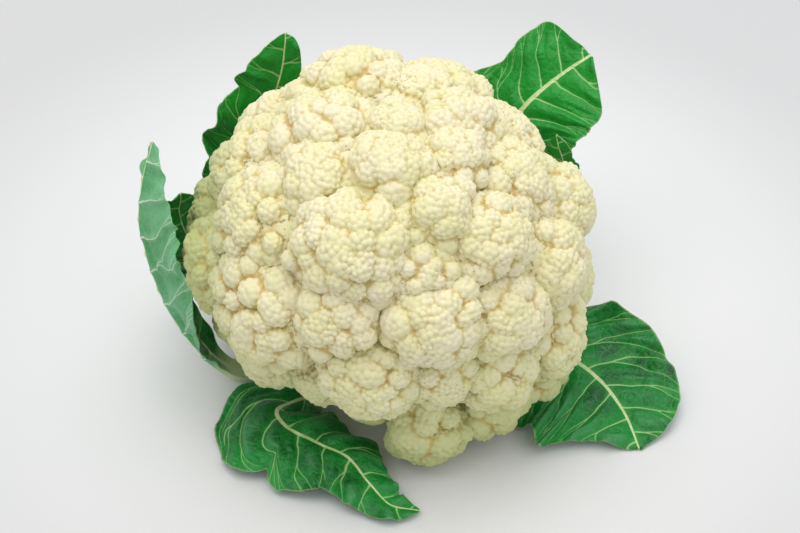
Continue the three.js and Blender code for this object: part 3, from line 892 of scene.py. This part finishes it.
def stalkMaterial():
    paint = Paint("stalkRind")
    cut, ring = paint.attribute("cutFace"), paint.attribute("ring")
    blotch = paint.noise(6 * mm, 3)
    fibre = paint.noise(0.8 * mm, 2)
    rind = paint.mix((0.52, 0.60, 0.30), (0.70, 0.74, 0.48), paint.rise(blotch, 0.3, 0.7))
    rind = paint.mix(rind, (0.45, 0.33, 0.16), paint.rise(paint.noise(3 * mm, 4), 0.62, 0.75) * 0.5)
    pith = paint.mix((0.80, 0.78, 0.60), (0.72, 0.70, 0.45), paint.rise(blotch, 0.4, 0.7))
    pith = paint.mix(pith, (0.56, 0.60, 0.30), paint.rise(ring, 0.80, 0.93))
    pith = paint.mix(pith, (0.50, 0.36, 0.18), paint.rise(fibre, 0.55, 0.8) * 0.4)
    tone = paint.mix(rind, pith, cut)
    height = fibre + paint.cells(1.4 * mm) * 0.6
    return paint.finish(Base_Color=tone, Roughness=0.6, Normal=paint.bump(height, 0.4, 0.4 * mm))


makeStalk(stalkMaterial())
print("stalk is cut")


studio = {
    "floorRadius": 6.0,
    "floorRings": (1.0, 0.3, 0.08),   # in floor radii
    # floorMiddle, floorNear and floorRound paint a pool of light on the floor round the object
    "floorMiddle": (0, 0.065, 0),
    "floorNear": (0.775, 0.775, 0.778),
    "floorRound": (0.585, 0.585, 0.588),
    "floorFar": (0.94, 0.94, 0.95),
    "skyTone": (0.97, 0.98, 1.0),
    "skyStrength": 0.70,
    "lamps": [  # name, place, width, watts, tint
        ("key", (-0.36, -0.14, 1.32), 1.30, 7.9, (1.0, 0.985, 0.96)),
        ("fill", (0.70, -0.55, 1.15), 1.10, 2.9, (0.97, 0.985, 1.0)),
        ("top", (0.20, 0.45, 1.45), 1.10, 4.8, (1.0, 1.0, 1.0)),
    ],
    "target": (0, 0, 0.0616),
    "elevation": math.radians(40),
    "distance": 0.814,
    "lens": 85,
}


def floorMaterial():
    paint = Paint("studioFloor")
    spread = {0: paint.place(), 1: studio["floorMiddle"]}
    away = paint.node("ShaderNodeVectorMath", {"operation": "DISTANCE"}, spread, "Value")
    # painted light: a pool of light on the floor, lightest round floorMiddle and darker further out
    tone = paint.mix(studio["floorNear"], studio["floorRound"], paint.rise(away, 0.08, 0.28))
    tone = paint.mix(tone, studio["floorFar"], paint.rise(away, 0.6, 2.4))
    tone = paint.mix(tone, (0.78, 0.78, 0.79), paint.noise(0.4, 2) * 0.10)
    return paint.finish(Base_Color=tone, Roughness=0.7, Specular_IOR_Level=0.2)


# rings of quads round a fan
def makeFloor():
    around = np.linspace(0, 2 * math.pi, 97)[:-1]
    radii = [studio["floorRadius"] * share for share in studio["floorRings"]]
    points = [(r * math.cos(a), r * math.sin(a), 0) for r in radii for a in around] + [(0, 0, 0)]
    count = len(around)
    faces = []
    for i in range(count):
        j = (i + 1) % count
        for ring in range(0, (len(radii) - 1) * count, count):
            faces.append((ring + i, ring + j, ring + count + j, ring + count + i))
        faces.append((len(points) - 1 - count + i, len(points) - 1 - count + j, len(points) - 1))
    mesh = bpy.data.meshes.new("floor")
    mesh.from_pydata(points, [], faces)
    mesh.materials.append(floorMaterial())
    floor = bpy.data.objects.new("floor", mesh)
    bpy.context.scene.collection.objects.link(floor)


def lightStudio():
    target = Vector(studio["target"])
    for name, place, width, watts, tint in studio["lamps"]:
        light = bpy.data.lights.new(name, "AREA")
        light.shape, light.size, light.energy, light.color = "DISK", width, watts, tint
        lamp = bpy.data.objects.new(name, light)
        lamp.location = place
        lamp.rotation_euler = (target - Vector(place)).to_track_quat("-Z", "Y").to_euler()
        bpy.context.scene.collection.objects.link(lamp)
    world = bpy.data.worlds.new("softRoom")
    world.use_nodes = True
    background = world.node_tree.nodes["Background"]
    background.inputs["Color"].default_value = (*studio["skyTone"], 1)
    background.inputs["Strength"].default_value = studio["skyStrength"]
    bpy.context.scene.world = world
    bpy.context.scene.view_settings.view_transform = "Standard"
    bpy.context.scene.view_settings.look = "None"


def placeCamera():
    lift = studio["elevation"]
    back = Vector((0, -math.cos(lift), math.sin(lift)))
    view = bpy.data.cameras.new("camera")
    view.lens, view.sensor_width = studio["lens"], 36
    view.clip_start, view.clip_end = 0.05, 50
    camera = bpy.data.objects.new("camera", view)
    camera.location = Vector(studio["target"]) + back * studio["distance"]
    camera.rotation_euler = (-back).to_track_quat("-Z", "Y").to_euler()
    bpy.context.scene.collection.objects.link(camera)
    bpy.context.scene.camera = camera


makeFloor()
lightStudio()
placeCamera()
print("floor, lamps and camera are set")
